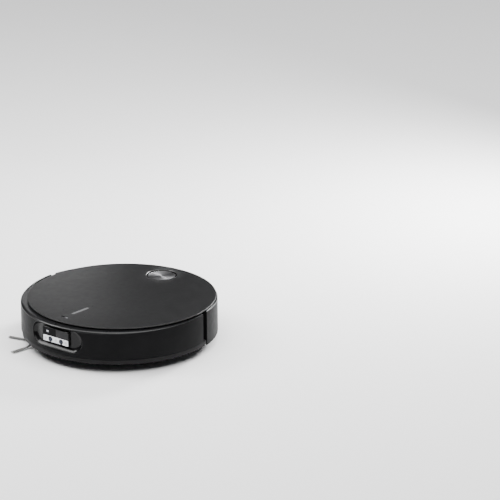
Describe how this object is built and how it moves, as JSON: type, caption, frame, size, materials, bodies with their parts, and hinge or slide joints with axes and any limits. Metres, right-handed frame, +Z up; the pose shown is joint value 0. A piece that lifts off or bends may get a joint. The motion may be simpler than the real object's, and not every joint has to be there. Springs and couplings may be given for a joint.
{
  "type": "robot vacuum",
  "caption": "Slim round robot vacuum and mop with a sprung front bumper round a camera window, flat lift-off cover, side brush and spinning mop pads.",
  "frame": {"origin": "on the floor, under the centre of the round body", "axes": "+X towards the front bumper, +Y to the robot's left side, +Z up"},
  "size_m": [0.35, 0.35, 0.081],
  "materials": {
    "black_shell": "fine satin moulded plastic",
    "black_cover": "satin black plate with a fine bead texture",
    "gloss_trim": "polished black plastic",
    "dark_plastic": "textured black plastic",
    "grey_plastic": "grey moulded plastic",
    "white_plastic": "white moulded plastic",
    "smoked_plastic": "smoked clear plastic",
    "spun_metal": "spun disc with circular brushing",
    "silver_bar": "silver film behind a clear window",
    "lens_glass": "coated lens",
    "steel": "plain steel",
    "contact_metal": "plated contact strip",
    "tyre_rubber": "ribbed black rubber",
    "blade_rubber": "soft brush blades",
    "bristle": "grey nylon bristles",
    "mop_cloth": "looped microfibre",
    "circuit_board": "green board with black parts",
    "battery_wrap": "blue shrink sleeve",
    "motor_metal": "zinc-plated motor cans",
    "filter_paper": "pleated filter paper"
  },
  "bodies": {
    "body": {"chassis": "dark_plastic", "rear_shell": "black_shell", "top_deck": "dark_plastic", "core_wall": "dark_plastic", "brush_housing": "dark_plastic", "wheel_bracket_left": "dark_plastic", "wheel_bracket_right": "dark_plastic", "caster_socket": "dark_plastic", "sensor_housing": "dark_plastic", "sensor_window": "gloss_trim", "camera_lens": "lens_glass", "light_bar": "silver_bar", "line_lasers": "lens_glass", "main_board": "circuit_board", "battery_pack": "battery_wrap", "side_brush_motor": "motor_metal", "main_brush_motor": "motor_metal", "fan_housing": "dark_plastic", "fan_motor": "motor_metal", "water_tank": "smoked_plastic", "button_bezel": "gloss_trim", "lift_motor": "motor_metal", "charging_contacts": "contact_metal", "cliff_sensors": "gloss_trim", "housing_screws": "steel", "bumper_springs": "steel", "suspension_springs": "steel", "button_spring": "steel"},
    "bumper": {"bumper": "black_shell", "recess_bezel": "black_shell"},
    "cover": {"top_cover": "black_cover", "cover_badge": "silver_bar", "indicator_light": "white_plastic"},
    "dustbin": {"dustbin": "smoked_plastic", "filter": "filter_paper"},
    "dustbin_lid": {"dustbin_lid": "dark_plastic"},
    "dustbin_handle": {"dustbin_handle": "grey_plastic"},
    "power_button": {"power_button": "spun_metal"},
    "wheel_arm_left": {"wheel_arm_left": "dark_plastic"},
    "wheel_arm_right": {"wheel_arm_right": "dark_plastic"},
    "drive_wheel_left": {"wheel_hub_left": "grey_plastic", "wheel_tyre_left": "tyre_rubber", "wheel_axle_left": "steel"},
    "drive_wheel_right": {"wheel_hub_right": "grey_plastic", "wheel_tyre_right": "tyre_rubber", "wheel_axle_right": "steel"},
    "caster_fork": {"caster_fork": "dark_plastic", "caster_axle": "steel"},
    "caster_wheel": {"caster_wheel": "grey_plastic"},
    "main_brush": {"brush_core": "dark_plastic", "brush_blades": "blade_rubber"},
    "brush_guard": {"brush_guard": "dark_plastic"},
    "side_brush": {"side_brush_hub": "dark_plastic", "side_brush_bristles": "bristle"},
    "fan_impeller": {"fan_impeller": "white_plastic"},
    "mop_lift": {"mop_drive_unit": "grey_plastic"},
    "mop_left": {"mop_plate_left": "grey_plastic", "mop_pad_left": "mop_cloth"},
    "mop_right": {"mop_plate_right": "grey_plastic", "mop_pad_right": "mop_cloth"}
  },
  "joints": [
    {"name": "bumper_push", "type": "slide", "parent": "body", "child": "bumper", "axis": [-1, 0, 0], "range_m": [0, 0.004], "stiffness_N_per_m": 400, "springref_m": -0.004, "deforming": ["bumper_springs"]},
    {"name": "cover_lift", "type": "slide", "parent": "body", "child": "cover", "axis": [0, 0, 1], "range_m": [0, 0.3]},
    {"name": "dustbin_lift", "type": "slide", "parent": "body", "child": "dustbin", "axis": [0, 0, 1], "range_m": [0, 0.16]},
    {"name": "dustbin_lid_hinge", "type": "hinge", "parent": "dustbin", "child": "dustbin_lid", "pos_m": [-0.0325, 0, 0.0674], "axis": [0, -1, 0], "range_deg": [0, 82]},
    {"name": "dustbin_handle_hinge", "type": "hinge", "parent": "dustbin_lid", "child": "dustbin_handle", "pos_m": [-0.005, 0, 0.0694], "axis": [0, -1, 0], "range_deg": [0, 92]},
    {"name": "button_press", "type": "slide", "parent": "body", "child": "power_button", "axis": [0, 0, -1], "range_m": [0, 0.001], "stiffness_N_per_m": 800, "springref_m": -0.002, "deforming": ["button_spring"]},
    {"name": "suspension_left", "type": "hinge", "parent": "body", "child": "wheel_arm_left", "pos_m": [0.033, 0.0924, 0.04], "axis": [0, -1, 0], "range_deg": [0, 25], "stiffness_Nm_per_rad": 0.2, "springref_deg": 51.57},
    {"name": "suspension_right", "type": "hinge", "parent": "body", "child": "wheel_arm_right", "pos_m": [0.033, -0.0924, 0.04], "axis": [0, -1, 0], "range_deg": [0, 25], "stiffness_Nm_per_rad": 0.2, "springref_deg": 51.57},
    {"name": "wheel_spin_left", "type": "hinge", "parent": "wheel_arm_left", "child": "drive_wheel_left", "pos_m": [-0.02, 0.115, 0.033], "axis": [0, 1, 0], "continuous": true},
    {"name": "wheel_spin_right", "type": "hinge", "parent": "wheel_arm_right", "child": "drive_wheel_right", "pos_m": [-0.02, -0.115, 0.033], "axis": [0, 1, 0], "continuous": true},
    {"name": "caster_swivel", "type": "hinge", "parent": "body", "child": "caster_fork", "pos_m": [0.115, 0, 0.03], "axis": [0, 0, 1], "continuous": true},
    {"name": "caster_roll", "type": "hinge", "parent": "caster_fork", "child": "caster_wheel", "pos_m": [0.107, 0, 0.013], "axis": [0, 1, 0], "continuous": true},
    {"name": "main_brush_spin", "type": "hinge", "parent": "body", "child": "main_brush", "pos_m": [0.055, 0, 0.0247], "axis": [0, 1, 0], "continuous": true},
    {"name": "brush_guard_release", "type": "slide", "parent": "body", "child": "brush_guard", "axis": [0, 0, -1], "range_m": [0, 0.06]},
    {"name": "side_brush_spin", "type": "hinge", "parent": "body", "child": "side_brush", "pos_m": [0.092, -0.106, 0.015], "axis": [0, 0, 1], "continuous": true},
    {"name": "fan_spin", "type": "hinge", "parent": "body", "child": "fan_impeller", "pos_m": [-0.064, 0, 0.045], "axis": [0, 0, 1], "continuous": true},
    {"name": "mop_lift", "type": "slide", "parent": "body", "child": "mop_lift", "axis": [0, 0, -1], "range_m": [0, 0.013]},
    {"name": "mop_spin_left", "type": "hinge", "parent": "mop_lift", "child": "mop_left", "pos_m": [-0.092, 0.062, 0.03], "axis": [0, 0, 1], "continuous": true},
    {"name": "mop_spin_right", "type": "hinge", "parent": "mop_lift", "child": "mop_right", "pos_m": [-0.092, -0.062, 0.03], "axis": [0, 0, 1], "continuous": true}
  ],
  "couplings": [
    {"joint": "dustbin_lift", "follows": "cover_lift", "ratio": 0.5},
    {"joint": "dustbin_lid_hinge", "follows": "cover_lift", "rad_per_m": 4.654},
    {"joint": "dustbin_handle_hinge", "follows": "cover_lift", "rad_per_m": 5.236},
    {"joint": "mop_spin_right", "follows": "mop_spin_left", "ratio": -1}
  ]
}
